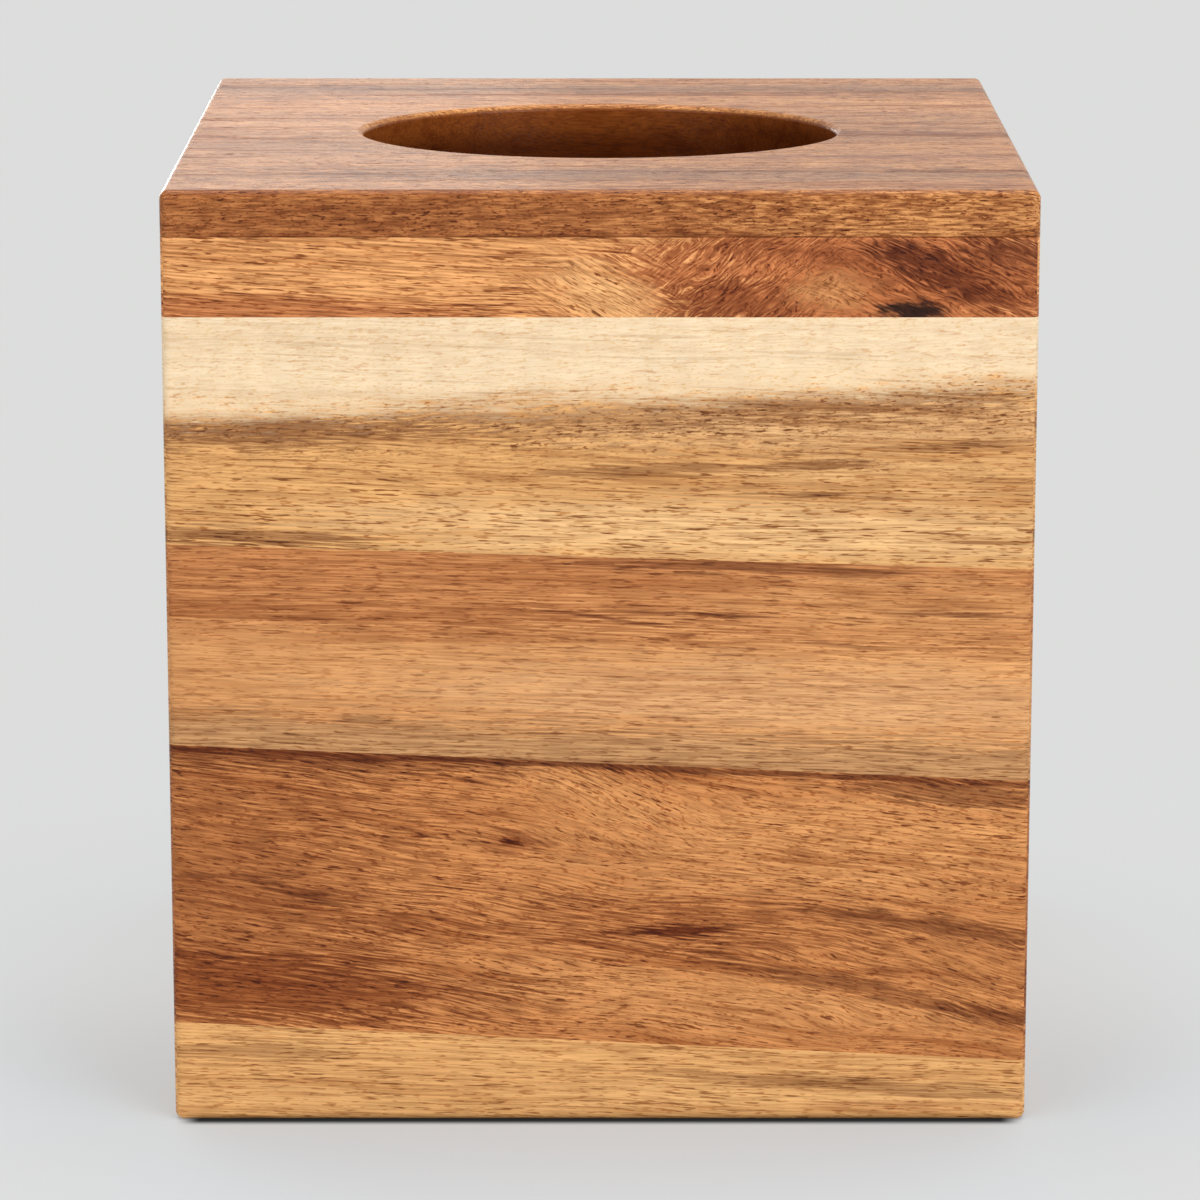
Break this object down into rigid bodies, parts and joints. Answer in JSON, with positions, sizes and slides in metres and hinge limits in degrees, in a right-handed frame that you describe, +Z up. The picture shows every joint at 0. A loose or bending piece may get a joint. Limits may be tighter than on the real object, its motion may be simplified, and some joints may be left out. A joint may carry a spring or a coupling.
{
  "type": "tissue box cover",
  "caption": "Square open-bottomed wooden cover for an upright box of tissues, with mitred walls of edge-glued staves and an oval hole in a rebated top.",
  "frame": {"origin": "middle of the footprint, on the surface that the cover stands on", "axes": "+Z up, -Y towards the viewer of the front wall, +X to the viewer's right"},
  "size_m": [0.135, 0.135, 0.149],
  "materials": {
    "acacia_top": "satin clear oil on greyish brown acacia",
    "acacia_rim": "satin clear oil on reddish figured acacia",
    "acacia_cream": "satin clear oil on pale acacia sapwood with a brown streak",
    "acacia_amber": "satin clear oil on orange brown acacia",
    "acacia_dark": "satin clear oil on dark red brown acacia with a small knot",
    "acacia_foot": "satin clear oil on light golden acacia"
  },
  "bodies": {
    "root": {"top_panel": "acacia_top", "front_rim_stave": "acacia_rim", "front_cream_stave": "acacia_cream", "front_amber_stave": "acacia_amber", "front_dark_stave": "acacia_dark", "front_foot_stave": "acacia_foot", "right_rim_stave": "acacia_rim", "right_cream_stave": "acacia_cream", "right_amber_stave": "acacia_amber", "right_dark_stave": "acacia_dark", "right_foot_stave": "acacia_foot", "back_rim_stave": "acacia_rim", "back_cream_stave": "acacia_cream", "back_amber_stave": "acacia_amber", "back_dark_stave": "acacia_dark", "back_foot_stave": "acacia_foot", "left_rim_stave": "acacia_rim", "left_cream_stave": "acacia_cream", "left_amber_stave": "acacia_amber", "left_dark_stave": "acacia_dark", "left_foot_stave": "acacia_foot"}
  },
  "joints": []
}
